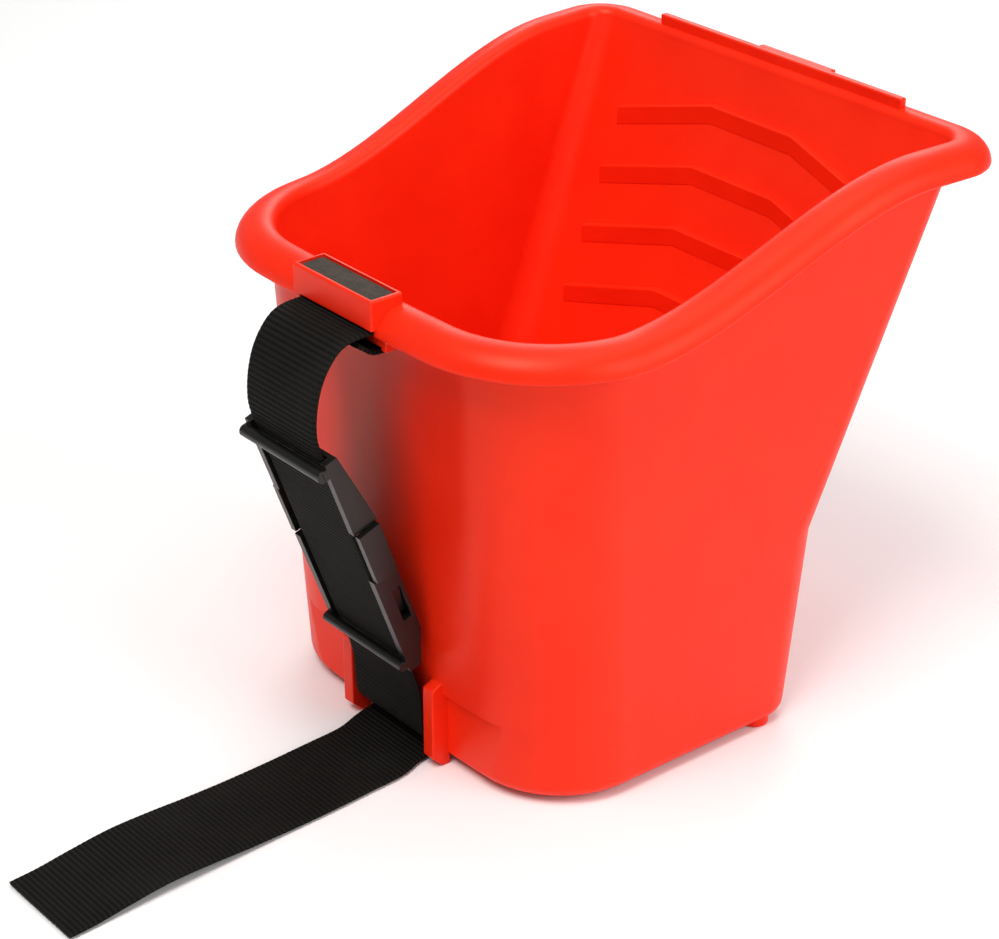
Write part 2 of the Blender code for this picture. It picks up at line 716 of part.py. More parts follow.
clear_scene()
parts = new_collection("hand_held_pail")
cutters = new_collection("cutters")
RED = principled("red_polypropylene", (0.89, 0.045, 0.012), 0.42)
MAGNET_GREY = principled("magnet_grey", (0.060, 0.056, 0.052), 0.55, 0.2)
BLACK_WEB = principled("black_webbing", (0.012, 0.012, 0.011), 0.85)
BLACK_PLASTIC = principled("black_acetal", (0.018, 0.018, 0.017), 0.38)

build_pail()
build_magnet()
build_strap()
build_tail()
build_male()
build_female()
build_latch("left", -1)
build_latch("right", 1)
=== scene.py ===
"""Hand-held red pail with a webbing hand strap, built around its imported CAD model."""

from math import cos, pi, radians, sin

import bmesh
import bpy
import numpy as np
from mathutils import Matrix, Vector


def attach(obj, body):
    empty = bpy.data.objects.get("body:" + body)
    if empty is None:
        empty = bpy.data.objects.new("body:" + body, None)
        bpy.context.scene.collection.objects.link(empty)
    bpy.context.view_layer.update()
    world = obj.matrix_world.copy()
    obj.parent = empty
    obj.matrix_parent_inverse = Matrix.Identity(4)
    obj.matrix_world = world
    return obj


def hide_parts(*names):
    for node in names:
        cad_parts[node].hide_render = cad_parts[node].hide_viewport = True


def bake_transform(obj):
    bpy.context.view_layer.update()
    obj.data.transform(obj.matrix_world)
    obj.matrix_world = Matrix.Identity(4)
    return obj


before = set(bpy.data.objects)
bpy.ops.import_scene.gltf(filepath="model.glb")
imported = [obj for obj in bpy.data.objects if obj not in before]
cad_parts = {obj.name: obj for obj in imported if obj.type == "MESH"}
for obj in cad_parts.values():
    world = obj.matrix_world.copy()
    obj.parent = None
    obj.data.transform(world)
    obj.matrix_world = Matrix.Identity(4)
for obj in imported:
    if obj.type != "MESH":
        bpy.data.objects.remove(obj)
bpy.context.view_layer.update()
scene = bpy.context.scene
scene.view_settings.view_transform = "Standard"

# Camera
AZIMUTH = 50.38
ELEVATION = 27.79
TARGET = (-0.01582, -0.01623, 0.06600)
DISTANCE = 0.81179
LENS = 95.95
SENSOR_WIDTH = 36.0

# Webbing, as in part.py
GAP = 0.0003
WEB_WIDTH = 0.0320
WEB_THICKNESS = 0.0015
TOP_BAR = (-0.0825, 0.1405, 0.0022)  # y, z and radius
FOOT_BAR = (-0.0650, 0.0043, 0.0014)
BUCKLE_TOP = (-0.1034, 0.1088)
BUCKLE_BOTTOM = (-0.0778, 0.0384)
TAIL_START_Y = -0.0740
TAIL_Z = 0.0011

# Its weave, edges and steps, which are only here
RIB_PITCH = 0.0016
RIB_DEPTH_SHARE = 0.22  # of half the thickness
RIB_STEPS = 6
WARP_PITCH = 0.0011
SELVEDGE = 0.0010  # width of the rounded edge
SELVEDGE_THINNING = 0.9  # share of the thickness that is lost at the very edge
SELVEDGE_POWER = 2.5
SELVEDGE_RIB_SHARE = 0.5  # how much shallower the ribs are at the very edge
SELVEDGE_COLUMNS = (1.0, 0.985, 0.96, 0.93)  # shares of half the width
INNER_COLUMN = 0.86
INNER_COLUMNS = 11
SEALED_LENGTH = 0.0015  # at the free end, where the weave is melted flat
SEALED_THICKNESS = 0.75
TIGHT_SHARE = 0.75
TIGHT_BELOW_BUCKLE_TOP = 0.0060  # the pull grows over this height
TIGHT_ABOVE_FOOT = 0.0120  # and fades over this one
TAIL_CEILING_Z = 0.0064  # the free end lies below this height
CURVE_STEPS = 8
WRAP_STEPS = 12

# Easing of edges. Angles are in degrees.
EASE_SEGMENTS = 3
EASED_ANGLE = 30.0
LIP_ANGLE = 50.0
SHARP_ANGLE = 35.0
NORMAL_WEIGHT = 60
PLAIN_EASE = 0.0005
POCKET_EASE = 0.0003
LIP_EASE = 0.0006
MAGNET_EASE = 0.0005
BUCKLE_EASE = 0.0004
LATCH_EASE = 0.0002
EASES = {  # where it isn't the plain one
    "magnet_block": 0.0007,
    "hook_bar": 0.0006,
    "hook_tab": 0.0006,
    "slot_hump": 0.0,
    "panel_back": 0.0,
}
WELD_DISTANCE = 0.000002
FLAT_ANGLE = 1.0


def link(item):
    scene.collection.objects.link(item)
    return item


# Node helpers


class Nodes:
    """A material's node tree, with short calls to add and join nodes."""

    def __init__(self, name):
        self.material = bpy.data.materials.new(name)
        self.material.use_nodes = True
        self.tree = self.material.node_tree
        self.shader = self.tree.nodes["Principled BSDF"]

    def add(self, kind, **values):
        node = self.tree.nodes.new(kind)
        for key, value in values.items():
            setattr(node, key, value)
        return node

    def join(self, start, end):
        self.tree.links.new(start, end)

    def plug(self, value, socket):
        if isinstance(value, bpy.types.NodeSocket):
            self.join(value, socket)
        else:
            socket.default_value = value

    def math(self, operation, *values):
        node = self.add("ShaderNodeMath", operation=operation)
        for value, socket in zip(values, node.inputs):
            self.plug(value, socket)
        return node.outputs[0]

    def coordinates(self, kind="Object"):
        return self.add("ShaderNodeTexCoord").outputs[kind]

    def scaled(self, vector, scale):
        node = self.add("ShaderNodeMapping")
        self.join(vector, node.inputs["Vector"])
        node.inputs["Scale"].default_value = scale
        return node.outputs[0]

    def noise(self, vector, scale, detail=3.0, roughness=0.5):
        node = self.add("ShaderNodeTexNoise")
        self.join(vector, node.inputs["Vector"])
        node.inputs["Scale"].default_value = scale
        node.inputs["Detail"].default_value = detail
        node.inputs["Roughness"].default_value = roughness
        return node.outputs["Fac"]

    def remap(self, value, low, high, to_low, to_high):
        node = self.add("ShaderNodeMapRange")
        for index, number in enumerate((value, low, high, to_low, to_high)):
            self.plug(number, node.inputs[index])
        return node.outputs[0]

    def mix(self, factor, first, second):
        node = self.add("ShaderNodeMix", data_type="RGBA")
        self.plug(factor, node.inputs["Factor"])
        self.plug(first, node.inputs[6])
        self.plug(second, node.inputs[7])
        return node.outputs[2]

    def bump(self, height, distance, strength=1.0, below=None):
        node = self.add("ShaderNodeBump")
        node.inputs["Strength"].default_value = strength
        node.inputs["Distance"].default_value = distance
        self.join(height, node.inputs["Height"])
        if below is not None:
            self.join(below, node.inputs["Normal"])
        return node.outputs[0]

    def set(self, **values):
        for key, value in values.items():
            self.plug(value, self.shader.inputs[key.replace("_", " ")])
        return self.material


def red_plastic():
    n = Nodes("red_polypropylene")
    place = n.coordinates()
    deep, light = (0.89, 0.018, 0.003, 1), (0.94, 0.023, 0.004, 1)
    cloud = n.noise(place, 38.0, 4.0)
    colour = n.mix(n.remap(cloud, 0.35, 0.65, 0.0, 1.0), deep, light)
    grain = n.noise(place, 2600.0, 2.0)
    flow = n.noise(n.scaled(place, (60.0, 60.0, 9.0)), 1.0, 3.0)
    scratch = n.noise(n.scaled(place, (900.0, 900.0, 45.0)), 1.0, 2.0)
    marks = n.remap(scratch, 0.66, 0.72, 0.0, 1.0)
    rough = n.math("ADD", n.remap(flow, 0.3, 0.7, 0.36, 0.46), n.math("MULTIPLY", marks, 0.10))
    fine = n.bump(grain, 0.00002, 0.35)
    soft = n.bump(flow, 0.00010, 0.25, fine)
    return n.set(
        Base_Color=colour,
        Roughness=rough,
        Normal=soft,
        IOR=1.49,
        Specular_IOR_Level=0.30,
        Specular_Tint=(1.0, 0.82, 0.58, 1.0),
    )


def webbing():
    n = Nodes("black_webbing")
    # Painted shade and painted highlight of the weave: the hollows between ribs and yarns are coloured
    # darker, and the crowns lighter.
    painted_hollow_shade, painted_crown_highlight = (0.0020, 0.0019, 0.0016, 1), (0.012, 0.0115, 0.0100, 1)
    worn = (0.016, 0.015, 0.013, 1)
    yarn_share, rib_share = 0.22, 0.78
    uv = n.add("ShaderNodeSeparateXYZ")
    n.join(n.coordinates("UV"), uv.inputs[0])
    across = n.math("MULTIPLY", uv.outputs[0], 2 * pi)
    row = n.math("FLOOR", uv.outputs[1])
    phase = n.math("MULTIPLY", row, pi)
    yarn = n.math("SINE", n.math("ADD", across, phase))
    rib = n.math("COSINE", n.math("MULTIPLY", uv.outputs[1], 2 * pi))
    height = n.math("ADD", n.math("MULTIPLY", yarn, yarn_share), n.math("MULTIPLY", rib, rib_share))
    relief = n.add("ShaderNodeAttribute", attribute_name="relief").outputs["Fac"]
    height = n.math("MULTIPLY", height, relief)
    fuzz = n.noise(n.coordinates(), 5200.0, 3.0)
    wear = n.noise(n.coordinates(), 45.0, 4.0)
    # The weave height sets how much painted shade or painted highlight each spot gets. It is weaker where
    # the relief attribute is low, and the fuzz adds random tone.
    level = n.math("ADD", n.remap(height, -1.0, 1.0, 0.0, 0.7), n.math("MULTIPLY", fuzz, 0.3))
    shade = n.mix(level, painted_hollow_shade, painted_crown_highlight)
    colour = n.mix(n.remap(wear, 0.45, 0.75, 0.0, 0.35), shade, worn)
    weave = n.bump(height, 0.00022, 0.8)
    both = n.bump(fuzz, 0.00005, 0.6, weave)
    return n.set(
        Base_Color=colour,
        Roughness=n.remap(level, 0.0, 1.0, 0.95, 0.62),
        Normal=both,
        Specular_IOR_Level=0.1,
    )


def black_plastic():
    n = Nodes("black_acetal")
    place = n.coordinates()
    dark, light = (0.0035, 0.0032, 0.0028, 1), (0.0075, 0.0070, 0.0062, 1)
    cloud = n.noise(place, 60.0, 3.0)
    colour = n.mix(cloud, dark, light)
    grain = n.noise(place, 3200.0, 2.0)
    scratch = n.noise(n.scaled(place, (1500.0, 90.0, 90.0)), 1.0, 2.0)
    rough = n.math(
        "ADD", n.remap(cloud, 0.3, 0.7, 0.27, 0.36), n.remap(scratch, 0.6, 0.7, 0.0, 0.12)
    )
    grainy = n.bump(grain, 0.00002, 0.3)
    return n.set(Base_Color=colour, Roughness=rough, Normal=grainy, Specular_IOR_Level=0.4)


def magnet_grey():
    n = Nodes("magnet_grey")
    place = n.coordinates()
    dark, brown, dust = (0.016, 0.016, 0.010, 1), (0.045, 0.027, 0.019, 1), (0.082, 0.062, 0.042, 1)
    patches = n.noise(place, 420.0, 5.0, 0.6)
    grains = n.noise(place, 1700.0, 3.0)
    base = n.mix(n.remap(patches, 0.4, 0.6, 0.0, 1.0), dark, brown)
    colour = n.mix(n.remap(grains, 0.5, 0.68, 0.0, 0.8), base, dust)
    return n.set(
        Base_Color=colour,
        Roughness=n.remap(grains, 0.3, 0.7, 0.42, 0.65),
        Normal=n.bump(patches, 0.00012, 0.7),
        Specular_IOR_Level=0.08,
    )


def floor_paper():
    n = Nodes("studio_floor")
    grey, white = (0.94, 0.94, 0.94, 1), (0.95, 0.95, 0.95, 1)
    tone = n.noise(n.coordinates(), 3.0, 2.0)
    colour = n.mix(tone, grey, white)
    return n.set(Base_Color=colour, Roughness=0.9)


RED = red_plastic()
WEB = webbing()
BLACK = black_plastic()
MAGNET = magnet_grey()


def paint(item, material):
    item.data.materials.clear()
    item.data.materials.append(material)


# Pail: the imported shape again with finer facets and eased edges. Its dimensions are part.py's.

WALL = 0.0022
BEYOND = 0.0100
OVERLAP = 0.0010
FLOOR_Z = 0.0020
KINK_Z = 0.0660
RIM_LOW_Z = 0.1507
RIM_RISE = 0.0279
RIM_RISE_START_Y = -0.0484
RIM_RISE_LENGTH = 0.1046
RIM_WIDTH = 0.0122
RIM_DROP = 0.0078
RIM_INNER_RADIUS = 0.0032
FLOOR_RADIUS = 0.0022
FRONT_BULGE = 0.0006
BASE_SECTION = (-0.0650, 0.0302, 0.0650, 0.0662, 0.0285, 0.0100)
KINK_SECTION = (-0.0692, 0.0332, 0.0664, 0.0700, 0.0305, 0.0100)
TOP_SECTION = (-0.0744, 0.0762, 0.0681, 0.0753, 0.0330, 0.0060)
FRONT_STEPS = 10
CORNER_STEPS = 18
SIDE_STEPS = 26
REAR_STEPS = 8
LOW_STEPS = 12
WALL_STEPS = 18
FLOOR_STEPS = 5
INNER_ROLL_STEPS = 6
ROLL_STEPS = 10
BAR_SEGMENTS = 32
RIB_TOPS_Z = (0.1629, 0.1447, 0.1263, 0.1075)
RIB_HALF_FLAT = 0.0172
RIB_HALF_LENGTH = 0.0555
RIB_DROP = 0.0100
RIB_HEIGHT = 0.0062
RIB_DEPTH = 0.0026
HOOK_HALF_LENGTH = 0.0509
HOOK_Y = 0.0797
HOOK_THICKNESS = 0.0026
HOOK_TOP_Z = 0.1816
TAB_HALF_LENGTH = 0.0155
TAB_Y = 0.0875
TAB_TOP_Z = 0.1788
TAB_BOTTOM_Z = 0.1718
BLOCK_HALF_WIDTH = 0.0178
BLOCK_FRONT_Y = -0.0886
BLOCK_BACK_Y = -0.0775
BLOCK_TOP_Z = 0.1540
BLOCK_BOTTOM_Z = 0.1450
POCKET_WALL = 0.0011
POCKET_DEPTH = 0.0046
TOP_LUG_THICKNESS = 0.0022
TOP_BAR_SLACK = 0.0008
MOUTH_DROP = 0.0090
MOUTH_DEPTH = 0.0046
HUMP_RISE = 0.0072
SLOT_HALF_WIDTH = 0.0172
LUG_OUTER_X = 0.0218
LUG_FRONT_Y = -0.0728
LUG_BACK_Y = -0.0660
LUG_TOP_Z = 0.0290
LUG_TOP_SLANT = 0.0020
LUG_HEEL = 0.0038
PANEL_Y = -0.0670
PANEL_TOP_Z = 0.0250
PANEL_OUTER_X = 0.0600
PANEL_BACK_HALF = 0.0350
FOOT_RADIUS = 0.0045
FOOT_ROOT = 0.0012
REAR_FOOT = (0.0625, 0.0190)
PANEL_INSET = 0.0002  # keeps the inner solids off the faces that they meet
MERGE_DISTANCE = 0.0001

cutters = []


def object_from(name, shape, material=None):
    mesh = bpy.data.meshes.new(name)
    shape.to_mesh(mesh)
    shape.free()
    if material:
        mesh.materials.append(material)
    return link(bpy.data.objects.new(name, mesh))


def ease_edges(item, width, angle=EASED_ANGLE):
    """Rounds the edges where the surface turns by more than an angle."""
    bevel = item.modifiers.new("eased edges", "BEVEL")
    bevel.width = width
    bevel.segments = EASE_SEGMENTS
    bevel.limit_method = "ANGLE"
    bevel.angle_limit = radians(angle)


def cutter_from(name, shape, ease=0.0):
    """A solid that is joined to another or cut from it, with its edges eased first."""
    made = object_from(name, shape)
    if ease:
        ease_edges(made, ease)
    cutters.append(made)
    return made


def combine(target, tool, operation):
    step = target.modifiers.new(f"{operation.lower()} {tool.name}", "BOOLEAN")
    step.operation = operation
    step.solver = "EXACT"
    step.object = tool


def bake(item):
    """Puts the result of an object's modifiers into its mesh."""
    graph = bpy.context.evaluated_depsgraph_get()
    mesh = bpy.data.meshes.new_from_object(item.evaluated_get(graph))
    item.modifiers.clear()
    item.data = mesh


def box(low, high):
    low, high = Vector(low), Vector(high)
    shape = bmesh.new()
    place = Matrix.Translation((low + high) / 2) @ Matrix.Diagonal((*(high - low), 1.0))
    bmesh.ops.create_cube(shape, size=1.0, matrix=place)
    return shape


def cylinder(radius, length, place):
    shape = bmesh.new()
    ends = {"radius1": radius, "radius2": radius, "depth": length}
    bmesh.ops.create_cone(shape, cap_ends=True, segments=BAR_SEGMENTS, matrix=place, **ends)
    return shape


def rod(radius, half_length, y, z):
    place = Matrix.Translation((0, y, z)) @ Matrix.Rotation(pi / 2, 4, "Y")
    return cylinder(radius, 2 * half_length, place)


def prism(points, direction, columns=()):
    """An outline moved along a direction. Columns pair the points of one that isn't flat."""
    shape = bmesh.new()
    verts = [shape.verts.new(point) for point in points]
    if columns:
        pairs = zip(columns, columns[1:])
        faces = [shape.faces.new((verts[a], verts[c], verts[d], verts[b])) for (a, b), (c, d) in pairs]
    else:
        faces = [shape.faces.new(verts)]
    moved = bmesh.ops.extrude_face_region(shape, geom=faces)["geom"]
    corners = [item for item in moved if isinstance(item, bmesh.types.BMVert)]
    bmesh.ops.translate(shape, verts=corners, vec=direction)
    bmesh.ops.recalc_face_normals(shape, faces=shape.faces)
    return shape


def half_section(section, offset):
    """Inside of the wall, right half, from the front's middle to the rear's middle."""
    front, rear, half_front, half_rear, front_radius, rear_radius = section
    front_y, rear_y = front - offset, rear + offset
    front_x, rear_x = half_front + offset, half_rear + offset
    front_r, rear_r = front_radius + offset, rear_radius + offset
    flat_x = front_x - front_r
    points = []
    for step in range(FRONT_STEPS):
        share = step / FRONT_STEPS
        points.append((flat_x * share, front_y - FRONT_BULGE * (1 - share * share)))
    for step in range(CORNER_STEPS):
        angle = pi / 2 * step / CORNER_STEPS
        points.append((flat_x + front_r * sin(angle), front_y + front_r * (1 - cos(angle))))
    side_start = front_y + front_r
    side_end = rear_y - rear_r
    for step in range(SIDE_STEPS):
        share = step / SIDE_STEPS
        x = front_x + (rear_x - front_x) * share
        points.append((x, side_start + (side_end - side_start) * share))
    for step in range(CORNER_STEPS):
        angle = pi / 2 * step / CORNER_STEPS
        points.append((rear_x - rear_r * (1 - cos(angle)), side_end + rear_r * sin(angle)))
    for step in range(REAR_STEPS + 1):
        points.append(((rear_x - rear_r) * (1 - step / REAR_STEPS), rear_y))
    return points


def rim_height(y):
    share = min(max((y - RIM_RISE_START_Y) / RIM_RISE_LENGTH, 0.0), 1.0)
    return RIM_LOW_Z + RIM_RISE * share * share * (3 - 2 * share)


def rim_ring(out, drop):
    edge = half_section(TOP_SECTION, 0)
    ring = half_section(TOP_SECTION, out)
    return [(x, y, rim_height(at[1]) - drop) for (x, y), at in zip(ring, edge)]


def wall_rings():
    rings = []
    for step in range(FLOOR_STEPS + 1):
        angle = pi / 2 * step / FLOOR_STEPS
        inset = FLOOR_RADIUS * (1 - sin(angle))
        height = FLOOR_Z + WALL + FLOOR_RADIUS * (1 - cos(angle))
        rings.append([(x, y, height) for x, y in half_section(BASE_SECTION, -inset)])
    kink = [(x, y, KINK_Z) for x, y in half_section(KINK_SECTION, 0)]
    edge = rim_ring(0, RIM_INNER_RADIUS)
    for lower, upper, steps in ((rings[-1], kink, LOW_STEPS), (kink, edge, WALL_STEPS)):
        for step in range(1, steps + 1):
            rings.append([tuple(Vector(a).lerp(Vector(b), step / steps)) for a, b in zip(lower, upper)])
    for step in range(1, INNER_ROLL_STEPS + 1):
        angle = pi / 2 * step / INNER_ROLL_STEPS
        rings.append(rim_ring(RIM_INNER_RADIUS * (1 - cos(angle)), RIM_INNER_RADIUS * (1 - sin(angle))))
    for step in range(1, ROLL_STEPS + 1):
        angle = pi / 2 * step / ROLL_STEPS
        out = RIM_INNER_RADIUS + (RIM_WIDTH - RIM_INNER_RADIUS) * sin(angle)
        rings.append(rim_ring(out, RIM_DROP * (1 - cos(angle))))
    return rings


def pail_shell():
    shape = bmesh.new()
    rings = [[shape.verts.new(point) for point in ring] for ring in wall_rings()]
    for lower, upper in zip(rings, rings[1:]):
        for i in range(len(lower) - 1):
            shape.faces.new((lower[i], upper[i], upper[i + 1], lower[i + 1]))
    shape.faces.new(rings[0])
    bmesh.ops.recalc_face_normals(shape, faces=shape.faces)
    return shape


def rear_wall_y(z):
    share = (z - KINK_Z) / (rim_height(TOP_SECTION[1]) - RIM_INNER_RADIUS - KINK_Z)
    return KINK_SECTION[1] + (TOP_SECTION[1] - KINK_SECTION[1]) * share


def rib(top_z):
    low = top_z - RIB_DROP
    upper = [
        (-RIB_HALF_LENGTH, low),
        (-RIB_HALF_FLAT, top_z),
        (RIB_HALF_FLAT, top_z),
        (RIB_HALF_LENGTH, low),
    ]
    points = [(x, rear_wall_y(z) - RIB_DEPTH, z) for x, z in upper]
    points += [(x, y, z - RIB_HEIGHT) for x, y, z in reversed(points)]
    last = len(points) - 1
    columns = [(index, last - index) for index in range(len(upper))]
    return prism(points, (0, RIB_DEPTH + 2 * WALL, 0), columns)


def behind_rear_wall():
    outline = [(rear_wall_y(z) + WALL / 2, z) for z in (KINK_Z, RIM_LOW_Z + RIM_RISE)]
    far_y = TAB_Y + BEYOND
    half = RIB_HALF_LENGTH + BEYOND
    outline += [(far_y, RIM_LOW_Z + RIM_RISE), (far_y, KINK_Z)]
    return prism([(-half, y, z) for y, z in outline], (2 * half, 0, 0))


def finish_surface(item, material):
    """Smooth shading that follows the large faces, and stays sharp at real edges."""
    for face in item.data.polygons:
        face.use_smooth = True
    item.data.set_sharp_from_angle(angle=radians(SHARP_ANGLE))
    even = item.modifiers.new("even shading", "WEIGHTED_NORMAL")
    even.keep_sharp = True
    even.weight = NORMAL_WEIGHT
    paint(item, material)


def build_pail():
    pail = object_from("red_pail", pail_shell(), RED)
    halves = pail.modifiers.new("both halves", "MIRROR")
    halves.merge_threshold = MERGE_DISTANCE
    shell = pail.modifiers.new("wall thickness", "SOLIDIFY")
    shell.thickness = WALL
    shell.offset = -1.0
    shell.use_even_offset = True
    ease_edges(pail, LIP_EASE, LIP_ANGLE)

    hump_back_y = FOOT_BAR[0] + HUMP_RISE
    hump_top_z = FOOT_BAR[1] + HUMP_RISE
    inner = SLOT_HALF_WIDTH
    top_inner = WEB_WIDTH / 2 + TOP_BAR_SLACK
    inset = PANEL_INSET
    bar_y, bar_z, bar_radius = TOP_BAR
    additions = {
        "magnet_block": box(
            (-BLOCK_HALF_WIDTH, BLOCK_FRONT_Y, BLOCK_BOTTOM_Z),
            (BLOCK_HALF_WIDTH, BLOCK_BACK_Y, BLOCK_TOP_Z),
        ),
        "hook_bar": box(
            (-HOOK_HALF_LENGTH, HOOK_Y - HOOK_THICKNESS / 2, RIM_LOW_Z + RIM_RISE - WALL),
            (HOOK_HALF_LENGTH, HOOK_Y + HOOK_THICKNESS / 2, HOOK_TOP_Z),
        ),
        "hook_tab": box(
            (-TAB_HALF_LENGTH, TAB_Y - HOOK_THICKNESS / 2, TAB_BOTTOM_Z),
            (TAB_HALF_LENGTH, TAB_Y + HOOK_THICKNESS / 2, TAB_TOP_Z),
        ),
        "slot_hump": box(
            (-inner - WALL, PANEL_Y + inset, FLOOR_Z + inset),
            (inner + WALL, hump_back_y, hump_top_z),
        ),
        "panel_back": box(
            (-PANEL_BACK_HALF, PANEL_Y - inset, PANEL_TOP_Z / 2),
            (PANEL_BACK_HALF, PANEL_Y + WALL, PANEL_TOP_Z + WALL),
        ),
    }
    trim = cutter_from("behind_rear_wall", behind_rear_wall())
    for number, top_z in enumerate(RIB_TOPS_Z):
        additions[f"rib_{number + 1}"] = rib(top_z)
    for side, sign in (("left", -1), ("right", 1)):
        outline = [
            (LUG_FRONT_Y, LUG_HEEL),
            (LUG_FRONT_Y + LUG_HEEL, 0.0),
            (LUG_BACK_Y, 0.0),
            (LUG_BACK_Y - WALL, LUG_TOP_Z),
            (LUG_FRONT_Y, LUG_TOP_Z - LUG_TOP_SLANT),
        ]
        points = [(sign * inner, y, z) for y, z in outline]
        additions[f"foot_lug_{side}"] = prism(points, (sign * (LUG_OUTER_X - inner), 0, 0))
        across = sorted((sign * top_inner, sign * (top_inner + TOP_LUG_THICKNESS)))
        additions[f"top_lug_{side}"] = box(
            (across[0], bar_y - bar_radius, bar_z - bar_radius),
            (across[1], TOP_SECTION[0] - WALL / 2, BLOCK_BOTTOM_Z + OVERLAP),
        )
        place = Matrix.Translation((sign * REAR_FOOT[0], REAR_FOOT[1], (FLOOR_Z + FOOT_ROOT) / 2))
        additions[f"rear_foot_{side}"] = cylinder(FOOT_RADIUS, FLOOR_Z + FOOT_ROOT, place)
    cuts = {
        "strap_mouth": box(
            (-top_inner, BLOCK_FRONT_Y - BEYOND, bar_z - MOUTH_DROP),
            (top_inner, bar_y + MOUTH_DEPTH, BLOCK_BOTTOM_Z),
        ),
        "magnet_pocket": box(
            (-BLOCK_HALF_WIDTH + POCKET_WALL, BLOCK_FRONT_Y + POCKET_WALL, BLOCK_TOP_Z - POCKET_DEPTH),
            (BLOCK_HALF_WIDTH - POCKET_WALL, BLOCK_BACK_Y - POCKET_WALL, BLOCK_TOP_Z + BEYOND),
        ),
        "foot_slot": box(
            (-inner, LUG_FRONT_Y - BEYOND, -BEYOND),
            (inner, hump_back_y - WALL, hump_top_z - WALL),
        ),
    }
    for side, sign in (("left", -1), ("right", 1)):
        across = sorted((sign * LUG_OUTER_X, sign * PANEL_OUTER_X))
        front = (across[0], LUG_FRONT_Y - BEYOND, -BEYOND)
        cuts[f"panel_{side}"] = box(front, (across[1], PANEL_Y, PANEL_TOP_Z))
    for name, shape in additions.items():
        addition = cutter_from(name, shape, EASES.get(name, PLAIN_EASE))
        if name.startswith("rib_"):
            combine(addition, trim, "DIFFERENCE")
        combine(pail, addition, "UNION")
    for name, shape in cuts.items():
        ease = POCKET_EASE if name == "magnet_pocket" else 0.0
        combine(pail, cutter_from(name, shape, ease), "DIFFERENCE")
    top_bar = rod(bar_radius, top_inner + OVERLAP, bar_y, bar_z)
    foot_bar = rod(FOOT_BAR[2], inner + OVERLAP, FOOT_BAR[0], FOOT_BAR[1])
    combine(pail, cutter_from("top_bar", top_bar), "UNION")
    combine(pail, cutter_from("foot_bar", foot_bar), "UNION")
    bake(pail)
    while cutters:
        bpy.data.objects.remove(cutters.pop(), do_unlink=True)
    finish_surface(pail, RED)
    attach(pail, "pail")
    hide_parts("pail_body")


build_pail()


# Magnet and buckle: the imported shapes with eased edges


def eased_copy(node, name, material, body, width):
    """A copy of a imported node, with its flat faces made whole and its edges rounded."""
    shape = bmesh.new()
    shape.from_mesh(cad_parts[node].data)
    bmesh.ops.remove_doubles(shape, verts=shape.verts, dist=WELD_DISTANCE)
    limit = radians(FLAT_ANGLE)
    bmesh.ops.dissolve_limit(shape, angle_limit=limit, verts=shape.verts, edges=shape.edges)
    made = object_from(name, shape, material)
    ease_edges(made, width)
    bake(made)
    finish_surface(made, material)
    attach(made, body)
    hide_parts(node)


eased_copy("magnet", "magnet_bar", MAGNET, "pail", MAGNET_EASE)
eased_copy("buckle_male", "buckle_upper", BLACK, "pail", BUCKLE_EASE)
eased_copy("buckle_female", "buckle_lower", BLACK, "pail", BUCKLE_EASE)
eased_copy("latch_left", "spring_arm_left", BLACK, "left_latch", LATCH_EASE)
eased_copy("latch_right", "spring_arm_right", BLACK, "right_latch", LATCH_EASE)


# Webbing


def arc(bar, start, end, steps):
    """Centreline of the webbing round a bar. Angles are in degrees, from +Y towards +Z."""
    y, z, radius = bar
    reach = radius + GAP + WEB_THICKNESS / 2
    points = []
    for step in range(steps + 1):
        angle = radians(start + (end - start) * step / steps)
        points.append((0.0, y + reach * cos(angle), z + reach * sin(angle)))
    return points


def curve_through(points, steps):
    """Points of a smooth curve through the given ones."""
    last = len(points) - 1
    smooth = []
    for index in range(last):
        a, b = Vector(points[max(index - 1, 0)]), Vector(points[index])
        c, d = Vector(points[index + 1]), Vector(points[min(index + 2, last)])
        for step in range(steps):
            t = step / steps
            at = 2 * b + (c - a) * t + (2 * a - 5 * b + 4 * c - d) * t * t
            smooth.append((at + (3 * b - a - 3 * c + d) * t * t * t) / 2)
    smooth.append(Vector(points[-1]))
    return smooth


def flat(points):
    return [(0.0, y, z) for y, z in points]


